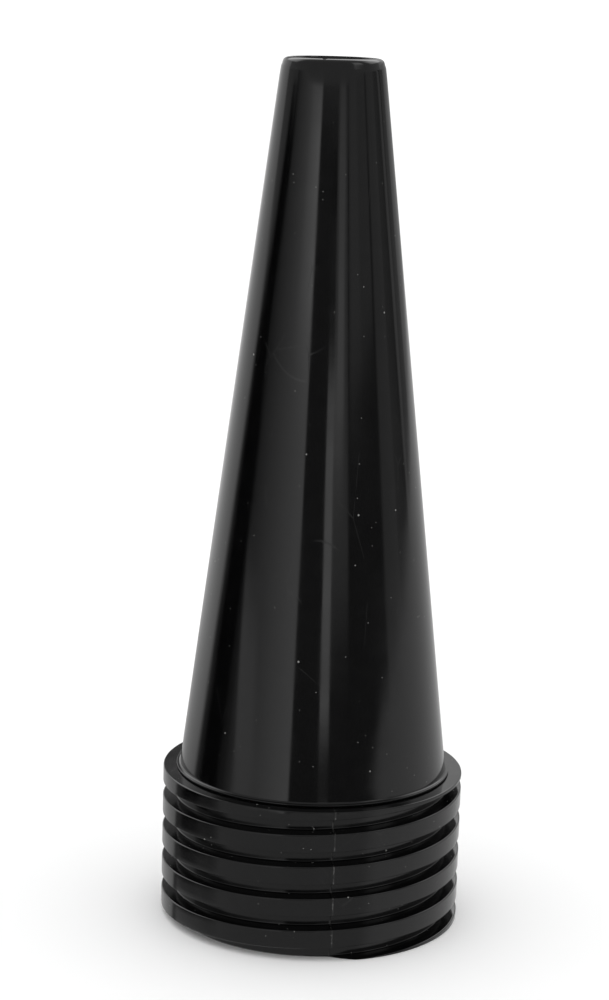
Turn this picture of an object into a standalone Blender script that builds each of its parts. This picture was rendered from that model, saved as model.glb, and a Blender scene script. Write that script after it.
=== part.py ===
"""A snoot: a tapered light tube that turns in a screw-in collar, with a honeycomb grid in its nose.

Metres, +Z up. The origin is the middle of the collar's bottom face, on the axis of the tube, and the
front of the object is -Y. Apart from the thread, the grid's cells and the splits of the two snap
rings, every piece is turned about Z.
"""

import math

import bmesh
import bpy
from mathutils import Matrix

# The outer form, from the bottom of the collar up to the rim of the nose.
OVERALL_HEIGHT = 0.2905
COLLAR_HEIGHT = 0.0512
CREST_RADIUS = 0.0510
GROOVE_RADIUS = 0.0464
FOOT_RADIUS = 0.0454
NOSE_RADIUS = 0.0168
RIM_ROUNDING_ACROSS = 0.0026
RIM_ROUNDING_DOWN = 0.0020

# The tube's foot flares out to a thin lip, and the collar ends in a thin full rim under it.
FOOT_LIP_RADIUS = 0.0465
FOOT_LIP_HEIGHT = 0.0006
FOOT_FLARE_HEIGHT = 0.0016
COLLAR_RIM_RADIUS = 0.0508
COLLAR_RIM_THICKNESS = 0.0012

# The collar's right-hand thread. Its lower flank reaches the level of the collar's top face at
# RUN_OUT, an angle from +X towards +Y.
PITCH = 0.01095
CREST_WIDTH = 0.0062
FLANK_DRAFT = 0.0003
RIDGE_EMBED = 0.0010
RUN_OUT = math.radians(8.5)
TURNS_BELOW = 6
RIDGE_TURNS = 7

# Fits and walls.
GAP = 0.0003
RUNNING_GAP = 0.00035
WALL = 0.0024

# The spigot: the tube's lower end, on which the collar turns.
SPIGOT_RADIUS = 0.0420
SPIGOT_BORE = 0.0392
SPIGOT_BOTTOM = 0.0024
SPIGOT_GROOVE_RADIUS = 0.0407
SPIGOT_GROOVE_BOTTOM = 0.0047
SPIGOT_GROOVE_TOP = 0.0067

# The collar's bore, with a recess at each end for the washers.
COLLAR_BORE = SPIGOT_RADIUS + RUNNING_GAP
TOP_RECESS_RADIUS = 0.04485
TOP_RECESS_DEPTH = 0.0013
BOTTOM_RECESS_RADIUS = 0.0440
BOTTOM_RECESS_TOP = 0.0080

# How far the blank and its cutters run past the collar's faces, each by a different length.
BLANK_OVERRUN = 0.002
CUTTER_OVERRUN = 0.003
TRIM_RADIUS = CREST_RADIUS * 1.2

# Loose rings round the spigot.
SWIVEL_WASHER_RADIUS = 0.0445
THRUST_WASHER_RADIUS = 0.04365
COLLAR_RING_RADIUS = 0.0436
COLLAR_RING_SPLIT = 0.0080
GASKET_RADIUS = 0.0432
GASKET_BORE = 0.0394
GASKET_BOTTOM = 0.0006

# The nose: a bore for the grid's holder, above a ledge that it stands on.
NOSE_BORE = 0.0138
LEDGE_BORE = 0.0124
LEDGE_TOP = 0.2740
LEDGE_BOTTOM = 0.2720

# The liner of the tube.
LINER_THICKNESS = 0.0005
LINER_TOP = 0.2640

# The grid's holder, which lifts out of the nose.
HOLDER_RADIUS = NOSE_BORE - RUNNING_GAP
HOLDER_BOTTOM = LEDGE_TOP + RUNNING_GAP
HOLDER_TOP = 0.2873
HOLDER_BORE = 0.0108
HOLDER_LIP_BORE = 0.0100
HOLDER_LIP_HEIGHT = 0.0013
SEAL_GROOVE_RADIUS = 0.0122
SEAL_GROOVE_BOTTOM = 0.2796
SEAL_GROOVE_TOP = 0.2816
SEAL_RING_RADIUS = 0.01305
SEAL_WIRE_RADIUS = 0.0005
RING_GROOVE_RADIUS = 0.0117
RING_GROOVE_HEIGHT = 0.0015
GRID_RING_RADIUS = 0.0114
GRID_RING_BORE = 0.0098
GRID_RING_SPLIT = 0.0045

# The honeycomb.
GRID_RADIUS = HOLDER_BORE - GAP
GRID_BOTTOM = HOLDER_BOTTOM + HOLDER_LIP_HEIGHT + GAP
GRID_THICKNESS = 0.0084
CELL_ACROSS = 0.0030
CELL_WALL = 0.0004
GRID_EDGE = 0.0004

# Facets round the large and the small turned pieces.
LARGE_STEPS = 60
SMALL_STEPS = 36
WIRE_SIDES = 6
SHARP_ANGLE = math.radians(30)
MERGE_DISTANCE = 0.00001

FOOT_BOTTOM = COLLAR_HEIGHT + GAP
TAPER = (FOOT_RADIUS - NOSE_RADIUS) / (OVERALL_HEIGHT - FOOT_BOTTOM)


def clear_scene():
    for obj in list(bpy.data.objects):
        bpy.data.objects.remove(obj)


def new_collection(name, hidden=False):
    collection = bpy.data.collections.new(name)
    bpy.context.scene.collection.children.link(collection)
    collection.hide_render = hidden
    return collection


def new_empty(name, collection):
    """The axis of a body, at the origin and along Z."""
    empty = bpy.data.objects.new(name, None)
    empty.empty_display_size = 0.02
    collection.objects.link(empty)
    return empty


def new_material(name, colour, roughness, metallic=0.0):
    material = bpy.data.materials.new(name)
    material.use_nodes = True
    shader = material.node_tree.nodes["Principled BSDF"]
    shader.inputs["Base Color"].default_value = (*colour, 1.0)
    shader.inputs["Roughness"].default_value = roughness
    shader.inputs["Metallic"].default_value = metallic
    return material


def as_cutter(obj):
    obj.hide_render = True
    obj.display_type = "WIRE"
    return obj


def outer_radius(height):
    """The tube's outer radius at this height above the foot."""
    return FOOT_RADIUS - TAPER * (height - FOOT_BOTTOM)


def inner_radius(height):
    return outer_radius(height) - WALL


def height_of_inner_radius(radius):
    return FOOT_BOTTOM + (FOOT_RADIUS - WALL - radius) / TAPER


def turned(name, outline, collection, steps=LARGE_STEPS, solid=False):
    """An outline of (radius, height) points turned about Z.

    A ring's outline is a closed one, which runs down its outer side and back up its inner side. A
    solid's is open, and runs from the axis at the top to the axis at the bottom.
    """
    count = len(outline)
    points = [(radius, 0.0, height) for radius, height in outline]
    edges = [(i, (i + 1) % count) for i in range(count - 1 if solid else count)]
    mesh = bpy.data.meshes.new(name)
    mesh.from_pydata(points, edges, [])
    obj = bpy.data.objects.new(name, mesh)
    collection.objects.link(obj)
    screw = obj.modifiers.new("Turn", "SCREW")
    screw.axis = "Z"
    screw.steps = steps
    screw.render_steps = steps
    screw.use_merge_vertices = solid
    screw.merge_threshold = MERGE_DISTANCE
    return obj


def plain_ring(name, outer, bore, bottom, top, collection, steps=LARGE_STEPS):
    outline = [(outer, top), (outer, bottom), (bore, bottom), (bore, top)]
    return turned(name, outline, collection, steps)


def boolean(obj, cutter, operation):
    modifier = obj.modifiers.new(operation.title(), "BOOLEAN")
    modifier.operation = operation
    modifier.solver = "EXACT"
    modifier.object = cutter


def made_mesh(obj):
    """The object with its modifiers made real and its open ends closed."""
    graph = bpy.context.evaluated_depsgraph_get()
    mesh = bpy.data.meshes.new_from_object(obj.evaluated_get(graph))
    obj.modifiers.clear()
    obj.data = mesh
    surface = bmesh.new()
    surface.from_mesh(mesh)
    bmesh.ops.holes_fill(surface, edges=surface.edges, sides=0)
    bmesh.ops.recalc_face_normals(surface, faces=surface.faces)
    surface.to_mesh(mesh)
    surface.free()
    return obj


def thread_ridge(collection):
    """The thread's ridge, longer than the collar at both ends."""
    lowest = COLLAR_HEIGHT - PITCH * (RUN_OUT / math.tau + TURNS_BELOW)
    inner = GROOVE_RADIUS - RIDGE_EMBED
    outline = [
        (inner, lowest + CREST_WIDTH + FLANK_DRAFT),
        (CREST_RADIUS, lowest + CREST_WIDTH),
        (CREST_RADIUS, lowest),
        (inner, lowest - FLANK_DRAFT),
    ]
    ridge = turned("thread_ridge", outline, collection)
    screw = ridge.modifiers["Turn"]
    screw.screw_offset = PITCH
    screw.iterations = RIDGE_TURNS
    return as_cutter(made_mesh(ridge))


def collar_cutter(collection):
    """All that is bored out of the collar, longer than the collar at both ends."""
    top = COLLAR_HEIGHT + CUTTER_OVERRUN
    recess_bottom = COLLAR_HEIGHT - TOP_RECESS_DEPTH
    outline = [
        (0.0, top),
        (TOP_RECESS_RADIUS, top),
        (TOP_RECESS_RADIUS, recess_bottom),
        (COLLAR_BORE, recess_bottom),
        (COLLAR_BORE, BOTTOM_RECESS_TOP),
        (BOTTOM_RECESS_RADIUS, BOTTOM_RECESS_TOP),
        (BOTTOM_RECESS_RADIUS, -CUTTER_OVERRUN),
        (0.0, -CUTTER_OVERRUN),
    ]
    return as_cutter(turned("collar_bore_cutter", outline, collection, solid=True))


def make_collar(parts, cutters):
    """The blank with its thread, trimmed flat at both ends and bored out.

    The blank is turned half a facet, so that no edge of it lies along an edge of the thread.
    """
    rim_bottom = COLLAR_HEIGHT - COLLAR_RIM_THICKNESS
    core = [
        (0.0, COLLAR_HEIGHT + BLANK_OVERRUN),
        (COLLAR_RIM_RADIUS, COLLAR_HEIGHT + BLANK_OVERRUN),
        (COLLAR_RIM_RADIUS, rim_bottom),
        (GROOVE_RADIUS, rim_bottom),
        (GROOVE_RADIUS, -BLANK_OVERRUN),
        (0.0, -BLANK_OVERRUN),
    ]
    between_faces = [
        (0.0, COLLAR_HEIGHT),
        (TRIM_RADIUS, COLLAR_HEIGHT),
        (TRIM_RADIUS, 0.0),
        (0.0, 0.0),
    ]
    collar = turned("threaded_collar", core, parts, solid=True)
    collar.data.transform(Matrix.Rotation(math.pi / LARGE_STEPS, 4, "Z"))
    trim = as_cutter(turned("collar_face_trim", between_faces, cutters, solid=True))
    boolean(collar, thread_ridge(cutters), "UNION")
    boolean(collar, trim, "INTERSECT")
    boolean(collar, collar_cutter(cutters), "DIFFERENCE")
    return collar


def rim_arc(points=4):
    """The nose's rounded outer edge, from the rim's flat top round to the tube's side."""
    centre_radius = NOSE_RADIUS - RIM_ROUNDING_ACROSS
    centre_height = OVERALL_HEIGHT - RIM_ROUNDING_DOWN
    angles = [math.pi / 2 * (1 - i / (points - 1)) for i in range(points)]
    return [
        (
            centre_radius + RIM_ROUNDING_ACROSS * math.cos(a),
            centre_height + RIM_ROUNDING_DOWN * math.sin(a),
        )
        for a in angles
    ]


def make_cone_shell(parts):
    flare_top = FOOT_BOTTOM + FOOT_FLARE_HEIGHT
    outline = [
        (NOSE_BORE, OVERALL_HEIGHT),
        *rim_arc(),
        (outer_radius(flare_top), flare_top),
        (FOOT_LIP_RADIUS, FOOT_BOTTOM + FOOT_LIP_HEIGHT),
        (FOOT_LIP_RADIUS, FOOT_BOTTOM),
        (SPIGOT_RADIUS, FOOT_BOTTOM),
        (SPIGOT_RADIUS, SPIGOT_GROOVE_TOP),
        (SPIGOT_GROOVE_RADIUS, SPIGOT_GROOVE_TOP),
        (SPIGOT_GROOVE_RADIUS, SPIGOT_GROOVE_BOTTOM),
        (SPIGOT_RADIUS, SPIGOT_GROOVE_BOTTOM),
        (SPIGOT_RADIUS, SPIGOT_BOTTOM),
        (SPIGOT_BORE, SPIGOT_BOTTOM),
        (SPIGOT_BORE, height_of_inner_radius(SPIGOT_BORE)),
        (inner_radius(LEDGE_BOTTOM), LEDGE_BOTTOM),
        (LEDGE_BORE, LEDGE_BOTTOM),
        (LEDGE_BORE, LEDGE_TOP),
        (NOSE_BORE, LEDGE_TOP),
    ]
    return turned("cone_shell", outline, parts)


def make_liner(parts):
    """A thin tapered sleeve just inside the tube's wall, between the spigot and the nose."""
    bottom = height_of_inner_radius(SPIGOT_BORE) + GAP
    outer = [inner_radius(height) - RUNNING_GAP for height in (LINER_TOP, bottom)]
    outline = [
        (outer[0], LINER_TOP),
        (outer[1], bottom),
        (outer[1] - LINER_THICKNESS, bottom),
        (outer[0] - LINER_THICKNESS, LINER_TOP),
    ]
    return turned("inner_liner", outline, parts)


def make_swivel_washer(parts):
    bottom = COLLAR_HEIGHT - TOP_RECESS_DEPTH + GAP
    top = FOOT_BOTTOM - GAP
    return plain_ring("swivel_washer", SWIVEL_WASHER_RADIUS, COLLAR_BORE, bottom, top, parts)


def make_thrust_washer(parts):
    bottom = SPIGOT_GROOVE_TOP
    top = BOTTOM_RECESS_TOP - GAP
    return plain_ring("thrust_washer", THRUST_WASHER_RADIUS, COLLAR_BORE, bottom, top, parts)


def split_cutter(name, width, radius, height, collection):
    """A block at the back of a ring, which leaves the gap that lets it spring."""
    bpy.ops.mesh.primitive_cube_add(size=1.0, location=(0.0, radius, height))
    block = bpy.context.object
    block.name = name
    block.scale = (width, radius, radius)
    bpy.ops.object.transform_apply(location=False, rotation=False, scale=True)
    for home in list(block.users_collection):
        home.objects.unlink(block)
    collection.objects.link(block)
    return as_cutter(block)


def make_collar_ring(parts, cutters):
    bottom = SPIGOT_GROOVE_BOTTOM + GAP
    top = SPIGOT_GROOVE_TOP - GAP
    bore = SPIGOT_GROOVE_RADIUS + GAP
    ring = plain_ring("collar_snap_ring", COLLAR_RING_RADIUS, bore, bottom, top, parts)
    middle = (bottom + top) / 2
    cutter = split_cutter("collar_ring_split", COLLAR_RING_SPLIT, bore, middle, cutters)
    boolean(ring, cutter, "DIFFERENCE")
    return ring


def make_gasket(parts):
    top = SPIGOT_BOTTOM - GAP
    return plain_ring("mouth_gasket", GASKET_RADIUS, GASKET_BORE, GASKET_BOTTOM, top, parts)


def make_holder(parts):
    ring_groove_bottom = GRID_BOTTOM + GRID_THICKNESS
    ring_groove_top = ring_groove_bottom + RING_GROOVE_HEIGHT
    lip_top = HOLDER_BOTTOM + HOLDER_LIP_HEIGHT
    outline = [
        (HOLDER_RADIUS, HOLDER_TOP),
        (HOLDER_RADIUS, SEAL_GROOVE_TOP),
        (SEAL_GROOVE_RADIUS, SEAL_GROOVE_TOP),
        (SEAL_GROOVE_RADIUS, SEAL_GROOVE_BOTTOM),
        (HOLDER_RADIUS, SEAL_GROOVE_BOTTOM),
        (HOLDER_RADIUS, HOLDER_BOTTOM),
        (HOLDER_LIP_BORE, HOLDER_BOTTOM),
        (HOLDER_LIP_BORE, lip_top),
        (HOLDER_BORE, lip_top),
        (HOLDER_BORE, ring_groove_bottom),
        (RING_GROOVE_RADIUS, ring_groove_bottom),
        (RING_GROOVE_RADIUS, ring_groove_top),
        (HOLDER_BORE, ring_groove_top),
        (HOLDER_BORE, HOLDER_TOP),
    ]
    return turned("grid_holder", outline, parts, SMALL_STEPS)


def make_seal_ring(parts):
    """The rubber ring that grips the nose's bore, a round wire in the holder's outer groove."""
    middle = (SEAL_GROOVE_BOTTOM + SEAL_GROOVE_TOP) / 2
    angles = [-math.tau * (i + 0.5) / WIRE_SIDES for i in range(WIRE_SIDES)]
    outline = [
        (SEAL_RING_RADIUS + SEAL_WIRE_RADIUS * math.cos(a), middle + SEAL_WIRE_RADIUS * math.sin(a))
        for a in angles
    ]
    return turned("grid_o_ring", outline, parts, SMALL_STEPS)


def make_grid_ring(parts, cutters):
    bottom = GRID_BOTTOM + GRID_THICKNESS + GAP
    top = bottom + RING_GROOVE_HEIGHT - 2 * GAP
    ring = plain_ring(
        "grid_snap_ring", GRID_RING_RADIUS, GRID_RING_BORE, bottom, top, parts, SMALL_STEPS
    )
    middle = (bottom + top) / 2
    cutter = split_cutter("grid_ring_split", GRID_RING_SPLIT, GRID_RING_RADIUS, middle, cutters)
    boolean(ring, cutter, "DIFFERENCE")
    return ring


def add_loop(curve, points):
    spline = curve.splines.new("POLY")
    spline.points.add(len(points) - 1)
    for point, (x, y) in zip(spline.points, points):
        point.co = (x, y, 0.0, 1.0)
    spline.use_cyclic_u = True


def polygon(centre, radius, sides, turn=0.0):
    angles = [turn + math.tau * i / sides for i in range(sides)]
    return [(centre[0] + radius * math.cos(a), centre[1] + radius * math.sin(a)) for a in angles]


def cell_centres():
    """The centres of the whole cells that fit inside the grid's edge."""
    pitch = CELL_ACROSS + CELL_WALL
    corner = CELL_ACROSS / math.sqrt(3)
    rows = int(GRID_RADIUS / pitch) + 2
    found = []
    for row in range(-rows, rows + 1):
        for column in range(-rows, rows + 1):
            x = pitch * (column + 0.5 * (row % 2))
            y = pitch * row * math.sqrt(3) / 2
            if math.hypot(x, y) + corner <= GRID_RADIUS - GRID_EDGE:
                found.append((x, y))
    return found


def make_grid(parts):
    curve = bpy.data.curves.new("honeycomb_grid", "CURVE")
    curve.dimensions = "2D"
    curve.fill_mode = "BOTH"
    curve.extrude = GRID_THICKNESS / 2
    add_loop(curve, polygon((0.0, 0.0), GRID_RADIUS, SMALL_STEPS))
    for centre in cell_centres():
        add_loop(curve, polygon(centre, CELL_ACROSS / math.sqrt(3), 6, math.pi / 6))
    grid = bpy.data.objects.new("honeycomb_grid", curve)
    grid.location.z = GRID_BOTTOM + GRID_THICKNESS / 2
    parts.objects.link(grid)
    return grid


def finish(obj, parent, material):
    """A round piece's modifiers are made real, and it is shaded smooth between its sharp edges."""
    if obj.type == "MESH":
        made_mesh(obj)
        obj.data.shade_smooth()
        obj.data.set_sharp_from_angle(angle=SHARP_ANGLE)
    obj.parent = parent
    obj.data.materials.append(material)


def main():
    clear_scene()
    parts = new_collection("snoot")
    cutters = new_collection("cutters", hidden=True)
    collar_body = new_empty("collar_body", parts)
    cone_body = new_empty("cone_body", parts)
    grid_body = new_empty("grid_body", parts)
    cone_body.parent = collar_body
    grid_body.parent = cone_body

    gloss_black = new_material("gloss_black_plastic", (0.012, 0.012, 0.013), 0.16)
    collar_black = new_material("collar_black_plastic", (0.013, 0.013, 0.014), 0.20)
    matt_black = new_material("matt_black_liner", (0.010, 0.010, 0.010), 0.90)
    nylon = new_material("white_nylon", (0.72, 0.70, 0.64), 0.45)
    acetal = new_material("acetal", (0.60, 0.58, 0.52), 0.40)
    spring_steel = new_material("spring_steel", (0.42, 0.42, 0.43), 0.30, 1.0)
    rubber = new_material("black_rubber", (0.020, 0.020, 0.020), 0.75)
    seal_rubber = new_material("seal_rubber", (0.018, 0.018, 0.018), 0.60)
    anodised = new_material("black_anodised_aluminium", (0.030, 0.030, 0.032), 0.38, 1.0)
    honeycomb = new_material("black_honeycomb", (0.025, 0.025, 0.026), 0.50, 1.0)
    ring_steel = new_material("ring_steel", (0.40, 0.40, 0.41), 0.32, 1.0)

    finish(make_collar(parts, cutters), collar_body, collar_black)
    finish(make_swivel_washer(parts), collar_body, nylon)
    finish(make_cone_shell(parts), cone_body, gloss_black)
    finish(make_liner(parts), cone_body, matt_black)
    finish(make_thrust_washer(parts), cone_body, acetal)
    finish(make_collar_ring(parts, cutters), cone_body, spring_steel)
    finish(make_gasket(parts), cone_body, rubber)
    finish(make_holder(parts), grid_body, anodised)
    finish(make_seal_ring(parts), grid_body, seal_rubber)
    finish(make_grid(parts), grid_body, honeycomb)
    finish(make_grid_ring(parts, cutters), grid_body, ring_steel)


main()
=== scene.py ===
"""The looks of the snoot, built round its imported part.

Metres, +Z up, in the part's own frame: the origin is the middle of the collar's bottom face and the
front of the object is -Y. An angle round the object runs from +X towards +Y. A bearing in the
studio runs from the front (-Y) towards the right (+X), in degrees.
"""

import math

import bmesh
import bpy
from mathutils import Matrix, Vector, noise


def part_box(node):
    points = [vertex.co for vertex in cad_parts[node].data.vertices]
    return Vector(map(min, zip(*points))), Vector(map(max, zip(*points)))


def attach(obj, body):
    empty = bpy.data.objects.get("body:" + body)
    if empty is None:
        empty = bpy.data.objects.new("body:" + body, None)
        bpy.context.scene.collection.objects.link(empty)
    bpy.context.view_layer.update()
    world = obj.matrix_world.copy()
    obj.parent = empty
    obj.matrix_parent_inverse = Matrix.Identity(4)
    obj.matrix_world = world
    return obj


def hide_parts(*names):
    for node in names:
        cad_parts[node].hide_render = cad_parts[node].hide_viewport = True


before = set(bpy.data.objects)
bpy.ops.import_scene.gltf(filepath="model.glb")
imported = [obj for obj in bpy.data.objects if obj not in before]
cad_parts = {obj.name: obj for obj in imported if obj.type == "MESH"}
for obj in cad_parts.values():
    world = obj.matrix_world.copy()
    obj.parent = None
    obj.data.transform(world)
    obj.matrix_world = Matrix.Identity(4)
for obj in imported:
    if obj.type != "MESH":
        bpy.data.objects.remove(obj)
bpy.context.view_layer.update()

# Driving sizes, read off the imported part.
COLLAR_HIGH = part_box("threaded_collar")[1]
CONE_LOW, CONE_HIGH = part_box("cone_shell")
SWIVEL_LOW, SWIVEL_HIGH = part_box("swivel_washer")
THRUST_LOW, THRUST_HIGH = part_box("thrust_washer")
SNAP_LOW, SNAP_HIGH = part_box("collar_snap_ring")
GASKET_LOW, GASKET_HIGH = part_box("mouth_gasket")
LINER_LOW, LINER_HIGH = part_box("inner_liner")
HOLDER_LOW, HOLDER_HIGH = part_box("grid_holder")
SEAL_LOW, SEAL_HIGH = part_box("grid_o_ring")
GRID_LOW, GRID_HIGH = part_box("honeycomb_grid")
GRID_RING_LOW, GRID_RING_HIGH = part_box("grid_snap_ring")

GAP = 0.0003
RUNNING_GAP = 0.00035
WALL = 0.0024

# The collar and its right-hand thread.
COLLAR_TOP = COLLAR_HIGH.z
CREST_RADIUS = COLLAR_HIGH.x
GROOVE_RADIUS = CREST_RADIUS - 0.0046
PITCH = 0.01095
CREST_WIDTH = 0.0062
FLANK_DRAFT = 0.0003
RUN_OUT = math.radians(8.5)
CREST_EDGE = 0.00045
CREST_LOWER_EDGE = 0.0003
ROOT_FILLET = 0.0004
FACE_EDGE = 0.0002
COLLAR_BORE = 0.04235
TOP_RECESS_RADIUS = SWIVEL_HIGH.x + RUNNING_GAP
TOP_RECESS_FLOOR = SWIVEL_LOW.z - GAP
BOTTOM_RECESS_RADIUS = THRUST_HIGH.x + RUNNING_GAP
BOTTOM_RECESS_TOP = THRUST_HIGH.z + GAP
RIM_THICKNESS = 0.0012
RIM_EDGE = 0.00035
RIM_LOWER_EDGE = 0.0002
COLLAR_COLUMNS = 480

# The mould's parting line down the collar, a fine ridge in front and another behind.
PARTING_ANGLE = math.radians(-81.0)
PARTING_HEIGHT = 0.00014
PARTING_HALF_WIDTH = 0.00020

# The collar's small faults: a faint sway of its surface, and rough flash on its top edge.
COLLAR_SWAY = 0.000012
COLLAR_SWAY_LENGTH = 0.009
FLASH_DEPTH = 0.00012
FLASH_HEIGHT = 0.0012
FLASH_REACH = 0.001
FLASH_GRAIN = 0.0011
FLASH_PATCHES = 0.006

# The tube, its spigot and its nose.
TUBE_TOP = CONE_HIGH.z
LIP_RADIUS = CONE_HIGH.x
LIP_HEIGHT = 0.0006
LIP_FLARE = 0.0006
LIP_OVERHANG = 0.0011
FOOT_RADIUS = LIP_RADIUS - LIP_OVERHANG
FOOT_BOTTOM = COLLAR_TOP + GAP
NOSE_RADIUS = 0.0168
RIM_ACROSS = 0.0026
RIM_DOWN = 0.0020
NOSE_BEND_HEIGHT = 0.0088
NOSE_BEND = 0.00018
RIM_INNER_ACROSS = 0.0004
RIM_INNER_DOWN = 0.0012
SPIGOT_RADIUS = COLLAR_BORE - RUNNING_GAP
SPIGOT_BORE = 0.0392
SPIGOT_BOTTOM = CONE_LOW.z
SPIGOT_GROOVE_RADIUS = 0.0407
SPIGOT_GROOVE_BOTTOM = SNAP_LOW.z - GAP
SPIGOT_GROOVE_TOP = SNAP_HIGH.z + GAP
NOSE_BORE = HOLDER_HIGH.x + RUNNING_GAP
LEDGE_BORE = 0.0124
LEDGE_TOP = HOLDER_LOW.z - RUNNING_GAP
LEDGE_BOTTOM = LEDGE_TOP - 0.0020
TAPER = (FOOT_RADIUS - NOSE_RADIUS) / (TUBE_TOP - FOOT_BOTTOM)
TUBE_SWAY = 0.000016
TUBE_SWAY_LENGTH = 0.014
TUBE_SWAY_SQUEEZE = 0.45
TUBE_SWAY_START = 0.002
LINER_THICKNESS = 0.0005
COLLAR_RING_GAP = 0.0080
GASKET_BORE = 0.0394
TUBE_COLUMNS = 360

# The nose's small parts.
HOLDER_BORE = GRID_HIGH.x + GAP
HOLDER_LIP_BORE = 0.0100
RING_GROOVE_RADIUS = 0.0117
SEAL_GROOVE_RADIUS = 0.0122
SEAL_GROOVE_HEIGHT = 0.0020
GRID_RING_BORE = 0.0098
GRID_RING_GAP = 0.0045
CELL_PITCH = 0.0034
FOIL_WALL = 0.00016
GRID_EDGE = 0.00035
GRID_RIM_SIDES = 72
SMALLEST_CELL = 0.0000004
NOSE_COLUMNS = 144

# A small nick in the nose's inner edge, to the left of its front.
NICK_ANGLE = math.radians(-101.5)
NICK_SIZE = 0.0008
NICK_DEPTH = 0.0006

# The camera: eye level a little above the nose, looking down at the collar.
CAMERA_PLACE = (0.0, -0.85055, 0.31914)
CAMERA_PAN = math.radians(-0.362)
CAMERA_TILT = math.radians(11.6495)
CAMERA_ROLL = math.radians(1.6554)
SENSOR = 36.0
LENS = 93.163

# The level of the white room, which everything but the gloss sees.
ROOM_LEVEL = 1.12


# ---------------------------------------------------------------- mesh helpers


def new_object(name, mesh):
    obj = bpy.data.objects.new(name, mesh)
    bpy.context.scene.collection.objects.link(obj)
    return obj


def corner_arc(before, corner, after, rounding, steps):
    """The points that round one corner of an outline."""
    here = Vector(corner)
    if rounding <= 0.0:
        return [tuple(here)]
    back = Vector(before) - here
    ahead = Vector(after) - here
    turn = math.pi - back.angle(ahead)
    if turn < 0.05:
        return [tuple(here)]
    reach = rounding * math.tan(turn / 2)
    reach = min(reach, 0.45 * back.length, 0.45 * ahead.length)
    start = here + back.normalized() * reach
    end = here + ahead.normalized() * reach
    points = []
    for i in range(steps + 1):
        t = i / steps
        point = start * (1 - t) ** 2 + here * 2 * t * (1 - t) + end * t**2
        points.append(tuple(point))
    return points


def quarter_arc(corner, across, down, steps, ends_across=True):
    """The points that round a square corner, from its upright side to its level one.

    across and down are the signed reach of the arc from the corner, out along the radius and down.
    With ends_across off, the points run the other way.
    """
    points = []
    for i in range(steps + 1):
        a = math.pi / 2 * i / steps
        radius = corner[0] + across * (1 - math.cos(a))
        points.append((radius, corner[1] - down * (1 - math.sin(a))))
    return points if ends_across else points[::-1]


def rounded(corners, rounding, steps=3):
    """A closed outline with its corners rounded. A corner may carry its own rounding as a third value."""
    count = len(corners)
    outline = []
    for i, corner in enumerate(corners):
        own = corner[2] if len(corner) > 2 else rounding
        before = corners[i - 1][:2]
        after = corners[(i + 1) % count][:2]
        outline.extend(corner_arc(before, corner[:2], after, own, steps))
    return outline


def divided(outline, longest):
    """The closed outline with every side longer than this cut into equal lengths."""
    result = []
    count = len(outline)
    for i, point in enumerate(outline):
        start = Vector(point)
        step = Vector(outline[(i + 1) % count]) - start
        pieces = max(1, math.ceil(step.length / longest))
        result.extend(tuple(start + step * (k / pieces)) for k in range(pieces))
    return result


def grid_faces(columns, rows, closed_round):
    """The four-cornered faces between columns of points, each column a closed outline."""
    faces = []
    for i in range(columns if closed_round else columns - 1):
        here = i * rows
        there = ((i + 1) % columns) * rows
        for k in range(rows):
            up = (k + 1) % rows
            faces.append((here + k, there + k, there + up, here + up))
    return faces


def cleaned(mesh, weld=0.000001):
    """Welds the points that coincide, drops what collapsed and turns every face outwards."""
    surface = bmesh.new()
    surface.from_mesh(mesh)
    bmesh.ops.remove_doubles(surface, verts=surface.verts, dist=weld)
    bmesh.ops.dissolve_degenerate(surface, edges=surface.edges, dist=weld)
    bmesh.ops.recalc_face_normals(surface, faces=surface.faces)
    surface.to_mesh(mesh)
    surface.free()
    mesh.update()


def smooth(obj, angle=35.0):
    """Smooth shading that stays flat on flat faces and crisp at edges sharper than the angle."""
    obj.data.shade_smooth()
    obj.data.set_sharp_from_angle(angle=math.radians(angle))
    modifier = obj.modifiers.new("Flat faces stay flat", "WEIGHTED_NORMAL")
    modifier.keep_sharp = True
    modifier.weight = 100
    return obj


def turned(name, outline, columns, shape=None, span=None):
    """An outline of (radius, height) points turned about Z, all round or from one angle to another.

    shape(radius, height, angle) may move each point as it is turned.
    """
    start, end = span or (0.0, math.tau)
    closed = span is None
    count = columns if closed else columns + 1
    points = []
    for i in range(count):
        angle = start + (end - start) * i / columns
        for radius, height in outline:
            if shape:
                radius, height = shape(radius, height, angle)
            points.append((radius * math.cos(angle), radius * math.sin(angle), height))
    rows = len(outline)
    faces = grid_faces(count, rows, closed)
    if not closed:
        faces.append(tuple(range(rows)))
        faces.append(tuple(reversed(range((count - 1) * rows, count * rows))))
    mesh = bpy.data.meshes.new(name)
    mesh.from_pydata(points, [], faces)
    cleaned(mesh)
    return smooth(new_object(name, mesh))


def ring_corners(outer, bore, bottom, top):
    return [(outer, top), (outer, bottom), (bore, bottom), (bore, top)]


def wave(radius, height, angle, size, seed):
    """A smooth random value between about -1 and 1, over features of this size."""
    place = Vector((radius * math.cos(angle), radius * math.sin(angle), height)) / size
    return noise.noise(place + Vector((seed, 0.0, 0.0)))


# ---------------------------------------------------------------- the collar


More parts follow.
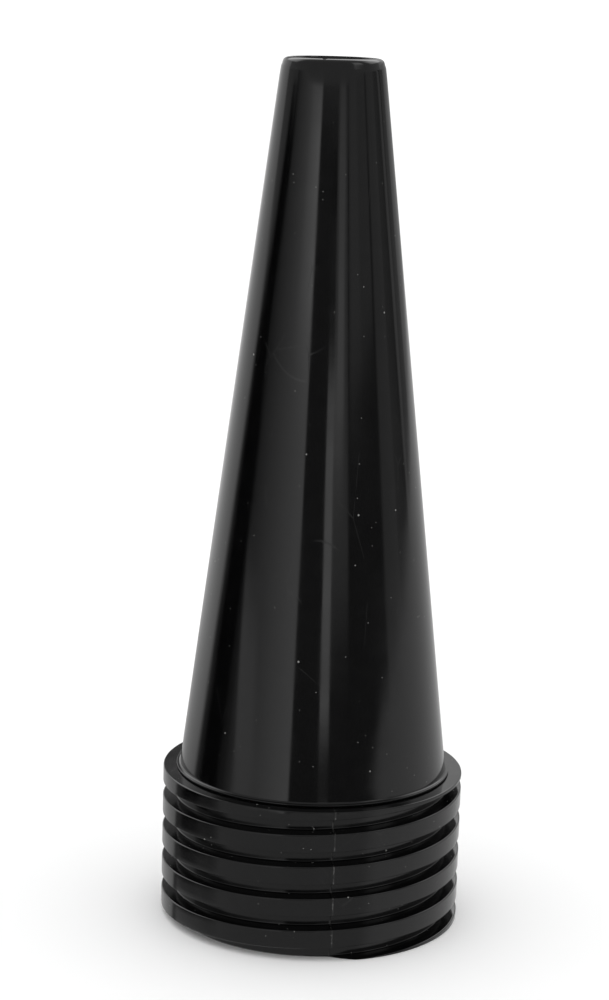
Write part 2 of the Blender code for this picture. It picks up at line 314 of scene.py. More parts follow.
def crest_outline(low):
    """One turn of the thread in section, from its upper root to its lower one."""
    high = low + CREST_WIDTH
    depth = CREST_RADIUS - GROOVE_RADIUS
    draft = FLANK_DRAFT * (depth - ROOT_FILLET) / depth
    upper_root = (GROOVE_RADIUS, high + draft)
    lower_root = (GROOVE_RADIUS, low - draft)
    face = CREST_WIDTH - CREST_EDGE - CREST_LOWER_EDGE
    return [
        *quarter_arc(upper_root, ROOT_FILLET, -ROOT_FILLET, 3),
        *quarter_arc((CREST_RADIUS, high), -CREST_EDGE, CREST_EDGE, 5, False),
        *[(CREST_RADIUS, high - (CREST_EDGE + face * share)) for share in (0.3, 0.7)],
        *quarter_arc((CREST_RADIUS, low), -CREST_LOWER_EDGE, -CREST_LOWER_EDGE, 3),
        *quarter_arc(lower_root, ROOT_FILLET, ROOT_FILLET, 3, False),
    ]


def thread_outline(turn):
    """Every crest in section at this share of a turn past the run-out, from the top down."""
    crests = math.ceil(COLLAR_TOP / PITCH) + 2
    points = []
    for k in range(crests):
        points.extend(crest_outline(COLLAR_TOP + PITCH * (turn - k)))
    return points


def radius_at(points, height):
    """The radius at which an outline that runs downwards crosses this height."""
    for (r0, z0), (r1, z1) in zip(points, points[1:]):
        if z0 >= height >= z1:
            return r0 + (r1 - r0) * (z0 - height) / max(z0 - z1, 1e-9)
    return points[-1][0]


def trimmed(points, low, high):
    """The outline cut off flat at both ends, with the same number of points as before."""
    at_high = (radius_at(points, high), high)
    at_low = (radius_at(points, low), low)
    result = []
    for point in points:
        if point[1] > high:
            point = at_high
        elif point[1] < low:
            point = at_low
        result.append(point)
    return result


def collar_bore_outline():
    """The collar's inner side, from the top face down to the bottom one."""
    e = FACE_EDGE
    return [
        (TOP_RECESS_RADIUS + e, COLLAR_TOP),
        (TOP_RECESS_RADIUS, COLLAR_TOP - e),
        (TOP_RECESS_RADIUS, TOP_RECESS_FLOOR),
        (COLLAR_BORE + e, TOP_RECESS_FLOOR),
        (COLLAR_BORE, TOP_RECESS_FLOOR - e),
        (COLLAR_BORE, BOTTOM_RECESS_TOP + e),
        (COLLAR_BORE + e, BOTTOM_RECESS_TOP),
        (BOTTOM_RECESS_RADIUS, BOTTOM_RECESS_TOP),
        (BOTTOM_RECESS_RADIUS, e),
        (BOTTOM_RECESS_RADIUS + e, 0.0),
    ]


def parting_ridge(angle, radius):
    """How far the parting line stands out at this angle."""
    height = 0.0
    for line in (PARTING_ANGLE, PARTING_ANGLE + math.pi):
        away = math.atan2(math.sin(angle - line), math.cos(angle - line)) * radius
        height = max(height, 1 - abs(away) / PARTING_HALF_WIDTH)
    return PARTING_HEIGHT * height


def collar_point(radius, height, angle):
    """A point of the collar's outside, with the mould's small faults."""
    if radius < GROOVE_RADIUS - 0.00001:
        return radius
    moved = radius + COLLAR_SWAY * wave(radius, height, angle, COLLAR_SWAY_LENGTH, 3.0)
    at_top = max(0.0, 1 - (COLLAR_TOP - height) / FLASH_HEIGHT)
    if radius > CREST_RADIUS - FLASH_REACH:
        rough = 0.5 + 0.5 * wave(radius, 0.0, angle, FLASH_GRAIN, 7.0)
        rough *= 0.5 + wave(radius, 0.0, angle, FLASH_PATCHES, 11.0)
        moved -= FLASH_DEPTH * at_top * max(0.0, rough)
    return min(moved, CREST_RADIUS) + parting_ridge(angle, radius)


def collar_turns():
    """The shares of a turn at which the collar's section is drawn, closer at the parting lines."""
    turns = [i / COLLAR_COLUMNS for i in range(COLLAR_COLUMNS + 1)]
    half = PARTING_HALF_WIDTH / CREST_RADIUS / math.tau
    for line in (PARTING_ANGLE, PARTING_ANGLE + math.pi):
        middle = (line - RUN_OUT) / math.tau % 1.0
        turns.extend(middle + half * k / 2 for k in range(-3, 4))
    return sorted(turns)


def rim_outline(thread_radius):
    """The collar's thin full rim, down to where the thread has this radius."""
    points = quarter_arc((CREST_RADIUS, COLLAR_TOP), -RIM_EDGE, RIM_EDGE, 5, False)
    low = COLLAR_TOP - RIM_THICKNESS
    points.append((CREST_RADIUS, low + RIM_LOWER_EDGE))
    points.append((max(CREST_RADIUS - RIM_LOWER_EDGE, thread_radius), low))
    return points


def make_collar():
    inner = collar_bore_outline()
    points = []
    turns = collar_turns()
    for turn in turns:
        angle = RUN_OUT + math.tau * turn
        outer = trimmed(thread_outline(turn), FACE_EDGE, COLLAR_TOP - RIM_THICKNESS)
        rim = rim_outline(outer[0][0])
        bottom = (outer[-1][0] - FACE_EDGE, 0.0)
        for radius, height in [*rim, *outer, bottom, *reversed(inner)]:
            radius = collar_point(radius, height, angle)
            points.append((radius * math.cos(angle), radius * math.sin(angle), height))
    rows = len(points) // len(turns)
    mesh = bpy.data.meshes.new("collar_moulding")
    mesh.from_pydata(points, [], grid_faces(len(turns), rows, False))
    cleaned(mesh)
    return smooth(new_object("collar_moulding", mesh))


# ---------------------------------------------------------------- the tube


def outer_radius(height):
    return FOOT_RADIUS - TAPER * (height - FOOT_BOTTOM)


def inner_radius(height):
    return outer_radius(height) - WALL


def height_of_inner_radius(radius):
    return FOOT_BOTTOM + (FOOT_RADIUS - WALL - radius) / TAPER


def nose_points():
    """The nose's rim: up from the bore round its softened edge, and round the shoulder to the side."""
    inner = quarter_arc((NOSE_BORE, TUBE_TOP), RIM_INNER_ACROSS, RIM_INNER_DOWN, 6)
    shoulder = quarter_arc((NOSE_RADIUS, TUBE_TOP), -RIM_ACROSS, RIM_DOWN, 8, False)
    return inner + shoulder


def bend_points(steps=7):
    """Points down the tube's side where it bends, below the shoulder."""
    start = TUBE_TOP - RIM_DOWN
    end = TUBE_TOP - NOSE_BEND_HEIGHT
    heights = [start + (end - start) * (i + 1) / steps for i in range(steps)]
    return [(outer_radius(height), height) for height in heights]


def flare_points():
    """The hollow curve from the tube's side out to the lip of its foot."""
    lip_top = FOOT_BOTTOM + LIP_HEIGHT
    curve = quarter_arc((0.0, lip_top), LIP_FLARE, -LIP_FLARE, 6)
    return [(outer_radius(height) + reach, height) for reach, height in curve]


def tube_corners():
    curved = [*nose_points(), *bend_points(), *flare_points()]
    return [
        *[(radius, height, 0.0) for radius, height in curved],
        (LIP_RADIUS, FOOT_BOTTOM + LIP_HEIGHT, 0.0002),
        (LIP_RADIUS, FOOT_BOTTOM, 0.0001),
        (SPIGOT_RADIUS, FOOT_BOTTOM, 0.0003),
        (SPIGOT_RADIUS, SPIGOT_GROOVE_TOP),
        (SPIGOT_GROOVE_RADIUS, SPIGOT_GROOVE_TOP),
        (SPIGOT_GROOVE_RADIUS, SPIGOT_GROOVE_BOTTOM),
        (SPIGOT_RADIUS, SPIGOT_GROOVE_BOTTOM),
        (SPIGOT_RADIUS, SPIGOT_BOTTOM, 0.0003),
        (SPIGOT_BORE, SPIGOT_BOTTOM, 0.0003),
        (SPIGOT_BORE, height_of_inner_radius(SPIGOT_BORE), 0.002),
        (inner_radius(LEDGE_BOTTOM), LEDGE_BOTTOM),
        (LEDGE_BORE, LEDGE_BOTTOM, 0.0002),
        (LEDGE_BORE, LEDGE_TOP, 0.0002),
        (NOSE_BORE, LEDGE_TOP),
    ]


def tube_point(radius, height, angle):
    """A point of the tube, with the faint sway of a long moulded wall and a slight bend at its top."""
    bend = max(0.0, 1 - (TUBE_TOP - height) / NOSE_BEND_HEIGHT)
    outside = radius > outer_radius(height) - 0.0005
    if outside and height > FOOT_BOTTOM + TUBE_SWAY_START:
        squeezed = height * TUBE_SWAY_SQUEEZE
        radius += TUBE_SWAY * wave(radius, squeezed, angle, TUBE_SWAY_LENGTH, 21.0)
        radius -= NOSE_BEND * bend**2
    away = angle - NICK_ANGLE
    across = math.atan2(math.sin(away), math.cos(away)) * NOSE_BORE
    nick = math.hypot(across, height - TUBE_TOP)
    if nick < NICK_SIZE and radius < NOSE_BORE + 0.0012:
        height -= NICK_DEPTH * (1 - nick / NICK_SIZE)
    return radius, height


def make_tube():
    outline = divided(rounded(tube_corners(), 0.00012), 0.004)
    return turned("tube_moulding", outline, TUBE_COLUMNS, tube_point)


def make_liner():
    ends = [(inner_radius(height) - RUNNING_GAP, height) for height in (LINER_HIGH.z, LINER_LOW.z)]
    corners = ends + [(radius - LINER_THICKNESS, height) for radius, height in reversed(ends)]
    outline = divided(rounded(corners, 0.00015), 0.012)
    return turned("liner_sleeve", outline, NOSE_COLUMNS)


def make_swivel_washer():
    corners = ring_corners(SWIVEL_HIGH.x, COLLAR_BORE, SWIVEL_LOW.z, SWIVEL_HIGH.z)
    return turned("nylon_washer", rounded(corners, 0.0001), TUBE_COLUMNS)


def make_thrust_washer():
    corners = ring_corners(THRUST_HIGH.x, COLLAR_BORE, THRUST_LOW.z, THRUST_HIGH.z)
    return turned("acetal_washer", rounded(corners, 0.00015), TUBE_COLUMNS)


def split_span(gap, radius):
    """The angles from one side of a gap at the back (+Y) round to the other."""
    half = math.asin(gap / 2 / radius)
    return (math.pi / 2 + half, math.pi / 2 + math.tau - half)


def make_collar_ring():
    bore = SPIGOT_GROOVE_RADIUS + GAP
    corners = ring_corners(SNAP_HIGH.x, bore, SNAP_LOW.z, SNAP_HIGH.z)
    span = split_span(COLLAR_RING_GAP, bore)
    return turned("collar_spring_ring", rounded(corners, 0.0002), TUBE_COLUMNS, span=span)


def make_gasket():
    corners = ring_corners(GASKET_HIGH.x, GASKET_BORE, GASKET_LOW.z, GASKET_HIGH.z)
    outline = rounded(corners, 0.0005, 4)
    return turned("mouth_foam_ring", outline, TUBE_COLUMNS)


# ---------------------------------------------------------------- the grid


def make_holder():
    lip_top = GRID_LOW.z - GAP
    groove_bottom = GRID_HIGH.z
    groove_top = GRID_RING_HIGH.z + GAP
    outer = HOLDER_HIGH.x
    seal_half = SEAL_GROOVE_HEIGHT / 2
    seal_middle = (SEAL_LOW.z + SEAL_HIGH.z) / 2
    corners = [
        (outer, HOLDER_HIGH.z, 0.0004),
        (outer, seal_middle + seal_half),
        (SEAL_GROOVE_RADIUS, seal_middle + seal_half),
        (SEAL_GROOVE_RADIUS, seal_middle - seal_half),
        (outer, seal_middle - seal_half),
        (outer, HOLDER_LOW.z, 0.0003),
        (HOLDER_LIP_BORE, HOLDER_LOW.z, 0.0003),
        (HOLDER_LIP_BORE, lip_top),
        (HOLDER_BORE, lip_top),
        (HOLDER_BORE, groove_bottom),
        (RING_GROOVE_RADIUS, groove_bottom),
        (RING_GROOVE_RADIUS, groove_top),
        (HOLDER_BORE, groove_top),
        (HOLDER_BORE, HOLDER_HIGH.z, 0.0004),
    ]
    return turned("holder_tube", rounded(corners, 0.00008), NOSE_COLUMNS)


def make_seal_ring():
    wire = (SEAL_HIGH.z - SEAL_LOW.z) / 2
    middle = (SEAL_HIGH.z + SEAL_LOW.z) / 2
    centre = SEAL_HIGH.x - wire
    outline = []
    for i in range(20):
        a = -math.tau * i / 20
        outline.append((centre + wire * math.cos(a), middle + wire * math.sin(a)))
    return turned("rubber_seal_ring", outline, NOSE_COLUMNS)


def make_grid_ring():
    corners = ring_corners(
        GRID_RING_HIGH.x, GRID_RING_BORE, GRID_RING_LOW.z, GRID_RING_HIGH.z
    )
    span = split_span(GRID_RING_GAP, GRID_RING_HIGH.x)
    return turned("grid_spring_ring", rounded(corners, 0.00015), NOSE_COLUMNS, span=span)


def hexagon(x, y):
    corner = (CELL_PITCH - FOIL_WALL) / math.sqrt(3)
    angles = [math.pi / 6 + math.pi / 3 * i for i in range(6)]
    return [(x + corner * math.cos(a), y + corner * math.sin(a)) for a in angles]


def cut_by_line(points, normal, limit):
    """The part of a convex outline that lies on the near side of a line."""
    result = []
    for i, here in enumerate(points):
        there = points[(i + 1) % len(points)]
        a = here[0] * normal[0] + here[1] * normal[1] - limit
        b = there[0] * normal[0] + there[1] * normal[1] - limit
        if a <= 0:
            result.append(here)
        if (a < 0 < b) or (b < 0 < a):
            t = a / (a - b)
            result.append((here[0] + (there[0] - here[0]) * t, here[1] + (there[1] - here[1]) * t))
    return result


def outline_area(points):
    pairs = zip(points, points[1:] + points[:1])
    return 0.5 * sum(x0 * y1 - x1 * y0 for (x0, y0), (x1, y1) in pairs)


def cell_outlines():
    """The grid's cells, those at the rim cut to its round edge."""
    reach = GRID_HIGH.x - GRID_EDGE
    rows = int(GRID_HIGH.x / CELL_PITCH) + 3
    cells = []
    for row in range(-rows, rows + 1):
        for column in range(-rows, rows + 1):
            x = CELL_PITCH * (column + 0.5 * (row % 2))
            y = CELL_PITCH * row * math.sqrt(3) / 2
            points = hexagon(x, y)
            for i in range(GRID_RIM_SIDES):
                a = math.tau * i / GRID_RIM_SIDES
                points = cut_by_line(points, (math.cos(a), math.sin(a)), reach)
            if len(points) > 2 and outline_area(points) > SMALLEST_CELL:
                cells.append(points)
    return cells


def add_loop(curve, points):
    spline = curve.splines.new("POLY")
    spline.points.add(len(points) - 1)
    for point, (x, y) in zip(spline.points, points):
        point.co = (x, y, 0.0, 1.0)
    spline.use_cyclic_u = True


def make_honeycomb():
    curve = bpy.data.curves.new("foil_honeycomb", "CURVE")
    curve.dimensions = "2D"
    curve.fill_mode = "BOTH"
    curve.extrude = (GRID_HIGH.z - GRID_LOW.z) / 2
    radius = GRID_HIGH.x
    sides = NOSE_COLUMNS
    circle = [math.tau * i / sides for i in range(sides)]
    add_loop(curve, [(radius * math.cos(a), radius * math.sin(a)) for a in circle])
    for points in cell_outlines():
        add_loop(curve, points)
    drawn = new_object("foil_drawing", curve)
    bpy.context.view_layer.update()
    graph = bpy.context.evaluated_depsgraph_get()
    mesh = bpy.data.meshes.new_from_object(drawn.evaluated_get(graph))
    bpy.data.objects.remove(drawn)
    mesh.transform(Matrix.Translation((0.0, 0.0, (GRID_HIGH.z + GRID_LOW.z) / 2)))
    mesh.name = "foil_honeycomb"
    cleaned(mesh)
    return new_object("foil_honeycomb", mesh)


# ---------------------------------------------------------------- node helpers


class Nodes:
    """Adds nodes to one material or world, and joins them."""

    def __init__(self, owner):
        owner.use_nodes = True
        self.tree = owner.node_tree
        self.tree.nodes.clear()

    def add(self, kind, settings=None, **inputs):
        node = self.tree.nodes.new(kind)
        for name, value in (settings or {}).items():
            setattr(node, name, value)
        for name, value in inputs.items():
            self.set(node, name.replace("_", " "), value)
        return node

    def set(self, node, name, value):
        socket = node.inputs[int(name)] if name.isdigit() else node.inputs[name]
        if isinstance(value, bpy.types.NodeSocket):
            self.tree.links.new(value, socket)
        else:
            socket.default_value = value

    def math(self, operation, *values, clamp=False):
        node = self.add("ShaderNodeMath", {"operation": operation, "use_clamp": clamp})
        for i, value in enumerate(values):
            self.set(node, str(i), value)
        return node.outputs[0]

    def ramp(self, value, start, end, low=0.0, high=1.0, kind="SMOOTHSTEP"):
        """Maps start..end to low..high, held at both ends."""
        node = self.add("ShaderNodeMapRange", {"interpolation_type": kind})
        for name, number in zip(("From Min", "From Max", "To Min", "To Max"), (start, end, low, high)):
            node.inputs[name].default_value = number
        self.tree.links.new(value, node.inputs["Value"])
        return node.outputs["Result"]

    def place(self, scale=(1.0, 1.0, 1.0)):
        """The point in the piece's own metres, stretched by this scale."""
        coordinates = self.add("ShaderNodeTexCoord")
        mapping = self.add("ShaderNodeMapping", Vector=coordinates.outputs["Object"])
        mapping.inputs["Scale"].default_value = scale
        return mapping.outputs["Vector"]

    def noise(self, scale, detail=2.0, stretch=(1.0, 1.0, 1.0)):
        node = self.add("ShaderNodeTexNoise", Vector=self.place(stretch), Scale=scale)
        node.inputs["Detail"].default_value = detail
        return node.outputs["Fac"]

    def mix_colour(self, share, first, second):
        node = self.add("ShaderNodeMix", {"data_type": "RGBA"})
        self.set(node, "0", share)
        for name, value in (("6", first), ("7", second)):
            if isinstance(value, tuple):
                value = (*value, 1.0)
            self.set(node, name, value)
        return node.outputs[2]

    def bump(self, height, distance, strength=1.0, normal=None):
        node = self.add("ShaderNodeBump", Height=height, Distance=distance, Strength=strength)
        if normal is not None:
            self.set(node, "Normal", normal)
        return node.outputs["Normal"]


def new_material(name):
    material = bpy.data.materials.new(name)
    return material, Nodes(material)


def finish_material(nodes, colour, roughness, normal, metallic=0.0, ior=1.5):
    shader = nodes.add("ShaderNodeBsdfPrincipled")
    shader.inputs["Metallic"].default_value = metallic
    shader.inputs["IOR"].default_value = ior
    nodes.set(shader, "Base Color", colour)
    nodes.set(shader, "Roughness", roughness)
    nodes.set(shader, "Normal", normal)
    output = nodes.add("ShaderNodeOutputMaterial")
    nodes.tree.links.new(shader.outputs["BSDF"], output.inputs["Surface"])
    return shader


# ---------------------------------------------------------------- materials


def specks(nodes, scale, size, share):
    """Small round specks, one in some of the cells of this scale: 1 on a speck and 0 off it."""
    cells = nodes.add("ShaderNodeTexVoronoi", Vector=nodes.place(), Scale=scale)
    inside = nodes.ramp(cells.outputs["Distance"], size, size * 0.6)
    split = nodes.add("ShaderNodeSeparateColor", Color=cells.outputs["Color"])
    chosen = nodes.math("LESS_THAN", split.outputs[0], share)
    return nodes.math("MULTIPLY", inside, chosen)


def hairlines(nodes, scale, stretch, width, share):
    """Fine scratches: the edges of stretched cells, broken up into short lengths."""
    cells = nodes.add(
        "ShaderNodeTexVoronoi",
        {"feature": "DISTANCE_TO_EDGE"},
        Vector=nodes.place(stretch),
        Scale=scale,
    )
    line = nodes.ramp(cells.outputs["Distance"], width, width * 0.3)
    breaks = nodes.ramp(nodes.noise(scale * 0.8, 1.0), 1.0 - share, 1.05 - share)
    return nodes.math("MULTIPLY", line, breaks)


def rubbed_seam(nodes, angle):
    """A painted highlight along the crest of a parting line at this angle, broken into short pale marks.
    """
    split = nodes.add("ShaderNodeSeparateXYZ", Vector=nodes.place())
    x, y, _ = split.outputs
    along = nodes.math("MULTIPLY", y, math.cos(angle))
    away = nodes.math("MULTIPLY_ADD", x, math.sin(angle), nodes.math("MULTIPLY", along, -1.0))
    band = nodes.ramp(nodes.math("ABSOLUTE", away), 0.00034, 0.00010)
    marks = nodes.ramp(nodes.noise(640.0, 3.0), 0.48, 0.66, 0.02, 0.26)
    return nodes.math("MULTIPLY", band, marks)


def gloss_black(name, base_roughness, streak_stretch, dust_share, seam_angle=None):
    """Glossy moulded black plastic with dust, hairline scratches, a faint orange peel and, where
    seam_angle is given, a painted highlight along the parting line.
    """
    material, nodes = new_material(name)
    dust_and_seam_highlight = specks(nodes, 170.0, 0.065, dust_share)
    fine_dust = specks(nodes, 420.0, 0.075, dust_share)
    dust_and_seam_highlight = nodes.math("MAXIMUM", dust_and_seam_highlight, fine_dust)
    # Along the parting line, short pale marks paint the ridge's highlight into the colour, mixed in with
    # the dust.
    if seam_angle is not None:
        dust_and_seam_highlight = nodes.math("MAXIMUM", dust_and_seam_highlight, rubbed_seam(nodes, seam_angle))
    scratch = hairlines(nodes, 60.0, streak_stretch, 0.006, 0.42)
    mottle = nodes.noise(220.0, 4.0)
    black = nodes.mix_colour(mottle, (0.0004, 0.0004, 0.0005), (0.0026, 0.0026, 0.0027))
    scratched = nodes.mix_colour(nodes.math("MULTIPLY", scratch, 0.30), black, (0.02, 0.02, 0.02))
    colour = nodes.mix_colour(dust_and_seam_highlight, scratched, (0.22, 0.22, 0.21))
    cloud = nodes.ramp(nodes.noise(45.0, 4.0), 0.35, 0.7, 0.0, 0.05)
    rough = nodes.math("ADD", base_roughness, cloud)
    rough = nodes.math("MULTIPLY_ADD", scratch, 0.10, rough)
    rough = nodes.math("MULTIPLY_ADD", dust_and_seam_highlight, 0.5, rough)
    peel = nodes.bump(nodes.noise(650.0, 2.0), 0.000002)
    scratched_normal = nodes.bump(nodes.math("SUBTRACT", 1.0, scratch), 0.000006, 0.5, peel)
    normal = nodes.bump(dust_and_seam_highlight, 0.00006, 1.0, scratched_normal)
    finish_material(nodes, colour, rough, normal)
    return material


def plain_plastic(name, light, dark, roughness):
    """Unpolished moulded plastic in a pale natural colour."""
    material, nodes = new_material(name)
    colour = nodes.mix_colour(nodes.noise(90.0, 4.0), dark, light)
    rough = nodes.ramp(nodes.noise(300.0, 3.0), 0.3, 0.7, roughness - 0.06, roughness + 0.06)
    normal = nodes.bump(nodes.noise(1400.0, 3.0), 0.00001, 0.6)
    shader = finish_material(nodes, colour, rough, normal)
    shader.inputs["Subsurface Weight"].default_value = 0.15
    shader.inputs["Subsurface Scale"].default_value = 0.001
    return material


def flock(name):
    """A matt black pile that soaks up stray light."""
    material, nodes = new_material(name)
    pile = nodes.noise(2600.0, 5.0)
    patches = nodes.noise(60.0, 3.0)
    share = nodes.math("MULTIPLY", pile, patches)
    colour = nodes.mix_colour(share, (0.004, 0.004, 0.0045), (0.022, 0.022, 0.023))
    rough = nodes.ramp(pile, 0.3, 0.7, 0.88, 1.0)
    normal = nodes.bump(pile, 0.00015, 0.9)
    shader = finish_material(nodes, colour, rough, normal)
    shader.inputs["Sheen Weight"].default_value = 0.25
    shader.inputs["Sheen Roughness"].default_value = 0.6
    return material


def rubber(name, grain, roughness):
    """Black rubber with a fine grain and a dusting of bloom."""
    material, nodes = new_material(name)
    bloom = nodes.ramp(nodes.noise(140.0, 4.0), 0.45, 0.75)
    colour = nodes.mix_colour(bloom, (0.012, 0.012, 0.012), (0.034, 0.034, 0.035))
    rough = nodes.ramp(nodes.noise(grain * 0.5, 3.0), 0.3, 0.7, roughness - 0.08, roughness + 0.08)
    normal = nodes.bump(nodes.noise(grain, 4.0), 0.00004, 0.7)
    finish_material(nodes, colour, rough, normal)
    return material


def lathed(nodes, lines_per_metre):
    """Fine grooves round the axis, as a lathe leaves them."""
    return nodes.noise(lines_per_metre, 2.0, (0.02, 0.02, 1.0))


def turned_metal(name, dark, light, roughness, lines):
    """Metal with the fine grooves of a lathe or a drawing die."""
    material, nodes = new_material(name)
    grooves = lathed(nodes, lines)
    tone = nodes.noise(70.0, 3.0)
    share = nodes.math("MULTIPLY_ADD", grooves, 0.5, nodes.math("MULTIPLY", tone, 0.5))
    colour = nodes.mix_colour(share, dark, light)
    rough = nodes.ramp(grooves, 0.3, 0.7, roughness - 0.07, roughness + 0.10)
    normal = nodes.bump(grooves, 0.00001, 0.5)
    finish_material(nodes, colour, rough, normal, metallic=1.0)
    return material


def foil(name):
    """Thin foil coated black, with small bright nicks scattered over it."""
    material, nodes = new_material(name)
    nick = nodes.ramp(nodes.noise(900.0, 3.0), 0.62, 0.72)
    colour = nodes.mix_colour(nick, (0.012, 0.012, 0.013), (0.10, 0.10, 0.10))
    rough = nodes.ramp(nodes.noise(400.0, 3.0), 0.3, 0.7, 0.38, 0.58)
    normal = nodes.bump(nodes.noise(1500.0, 2.0), 0.00003, 0.5)
    finish_material(nodes, colour, rough, normal, metallic=0.6)
    return material


# ---------------------------------------------------------------- the studio


class Studio(Nodes):
    """The room that the gloss reflects, as cards of light and dark at bearings and elevations."""

    def __init__(self, world):
        super().__init__(world)
        coordinates = self.add("ShaderNodeTexCoord")
        split = self.add("ShaderNodeSeparateXYZ", Vector=coordinates.outputs["Generated"])
        x, y, z = split.outputs
        turned_y = self.math("MULTIPLY", y, -1.0)
        bearing = self.math("ARCTAN2", x, turned_y)
        self.bearing = self.math("MULTIPLY", bearing, 180.0 / math.pi)
        up = self.math("ARCSINE", self.math("MINIMUM", z, 1.0))
        self.elevation = self.math("MULTIPLY", up, 180.0 / math.pi)
        self.light = None

    def base(self, level):
        self.light = self.math("ADD", level, 0.0)

    def edge(self, value, place, softness, rising):
        low, high = place - softness / 2, place + softness / 2
        return self.ramp(value, low, high) if rising else self.ramp(value, high, low)

    def lean(self, slope, pivot):
        """The bearing less the lean of a card's sides: slope degrees a degree above the pivot."""
        if not slope:
            return self.bearing
        shift = self.math("MULTIPLY", self.math("SUBTRACT", self.elevation, pivot), slope)
        return self.math("SUBTRACT", self.bearing, shift)

    def card(self, sides, heights, level, soft=(1.0, 1.0), soft_heights=(1.0, 1.0), lean=(0, 0)):
        """One card of this level, over whatever was there before.

        level may be a pair: the levels at its left and right sides. lean is a slope and the
        elevation at which the card's sides stand at the bearings given.
        """
        bearing = self.lean(*lean)
        share = self.edge(bearing, sides[0], soft[0], True)
        right = self.edge(bearing, sides[1], soft[1], False)
        share = self.math("MULTIPLY", share, right)
        if heights[0] > -90:
            low = self.edge(self.elevation, heights[0], soft_heights[0], True)
            share = self.math("MULTIPLY", share, low)
        if heights[1] < 90:
            high = self.edge(self.elevation, heights[1], soft_heights[1], False)
            share = self.math("MULTIPLY", share, high)
        if isinstance(level, tuple):
            level = self.ramp(bearing, sides[0], sides[1], level[0], level[1], "LINEAR")
        change = self.math("SUBTRACT", level, self.light)
        self.light = self.math("MULTIPLY_ADD", share, change, self.light)


def hang_left_cards(studio):
    """The big soft box on the left, the black flag beyond it and the pale wall behind that."""
    # The pale wall, and its darker foot.
    studio.card((-184, -108), (-90, 90), 0.87, (24.0, 8.0), lean=(1.2, 0))
    studio.card((-184, -108), (-90, -11), 0.57, (24.0, 8.0), (1.0, 6.0), lean=(1.2, 0))
    # The dim corner between the wall and the soft box.
    studio.card((-112, -80), (2.0, 90), 0.33, (6.0, 6.0), (4.0, 1.0))
    # The soft box, brightest at its right side and from a little above the horizon.
    studio.card((-81, -19.5), (-90, 90), (0.15, 1.02), (5.0, 2.2))
    studio.card((-46, -21.5), (5.0, 90), (0.75, 1.66), (20.0, 2.0), (3.0, 1.0))
    # The light that the table throws back below it.
    studio.card((-76, -53), (-90, -2.8), 0.69, (4.0, 10.0), (1.0, 2.0), lean=(-3.0, -5))
    # The black flag, in a lower and an upper part.
    studio.card((-103.5, -82), (-22, 1.0), 0.0, (7.0, 6.0), (2.0, 2.0), lean=(0.8, 0))
    studio.card((-104, -88), (-1.0, 7.4), 0.0, (7.0, 6.0), (2.0, 2.4), lean=(1.8, 0))


def hang_middle_cards(studio):
    """The dark room in front, and the narrow strip light with its spill to the right of it."""
    # The dark room.
    studio.card((-19, 5), (-3.5, 10.5), 0.105, (2.0, 2.0), (2.0, 2.0))
    # The strip light's spill, the strip, and its dimmer top.
    studio.card((13, 31.0), (-1, 10.5), 0.44, (2.0, 3.0), (2.6, 2.0))
    studio.card((17.0, 26.0), (3.0, 11.5), 0.98, (2.0, 4.5), (2.0, 2.0))
    studio.card((16.0, 27.0), (7.6, 11.5), 0.72, (2.0, 4.5), (3.0, 2.0))
    # A small bright window to the left of the strip, and the bar that joins the two.
    studio.card((5.4, 23.5), (2.8, 4.7), 1.06, (1.5, 6.0), (1.2, 1.2))
    studio.card((5.0, 13.4), (-3.2, 4.3), 1.26, (1.2, 1.2), (1.2, 1.2))


def hang_right_cards(studio):
    """The dim cards on the right and the dark gaps between them."""
    # The front right card, and its brighter left part.
    studio.card((33, 70), (3.4, 11), 0.35, (2.0, 4.0), (2.4, 2.0))
    studio.card((36, 50), (4.0, 11), 0.43, (2.0, 6.0), (2.4, 2.0))
    # The side wall, in panels that are pale and dark by turns.
    studio.card((73, 95), (-6, 90), 0.35, (5.0, 4.0))
    studio.card((94, 112), (-6, 90), (0.26, 0.12), (3.0, 2.0))
    studio.card((112, 119), (-6, 90), 0.37, (2.0, 2.0), lean=(-0.6, 0))
    studio.card((119, 133), (-6, 90), 0.22, (2.0, 2.5))
    studio.card((133, 184), (-6, 90), 0.39, (3.0, 24.0))


def lay_table(studio):
    """The pale table round the object, seen in the gloss below the horizon."""
    # On the right and behind, in front, and on the left.
    studio.card((52, 320), (-90, -4.7), 0.66, (12.0, 24.0), (1.0, 1.6), lean=(8.0, -6))
    studio.card((-75, 46), (-90, -13), 0.44, (4.0, 16.0), (1.0, 8.0))
    studio.card((-126, -71), (-90, -20.3), 0.46, (8.0, 8.0), (1.0, 1.6))


def hang_top_light(studio):
    """The dim ceiling and upper walls, a soft box high behind, and a lamp high on the right."""
    # The upper walls, in front and behind.
    studio.card((-112, 125), (10.9, 90), 0.40, (8.0, 8.0), (0.9, 1.0))
    studio.card((125, 200), (10.0, 90), 0.66, (8.0, 8.0), (4.0, 1.0))
    # The ceiling.
    studio.card((-200, 200), (24, 90), 0.40, soft_heights=(8.0, 1.0))
    # The soft box high behind, half on each side of the bearing where the circle closes.
    for sides in ((98, 210), (-210, -98)):
        studio.card(sides, (23, 48), 1.9, (16.0, 16.0), (8.0, 16.0))
    # The lamp high on the right.
    studio.card((50, 74), (26, 48), 1.5, (8.0, 8.0), (8.0, 8.0))


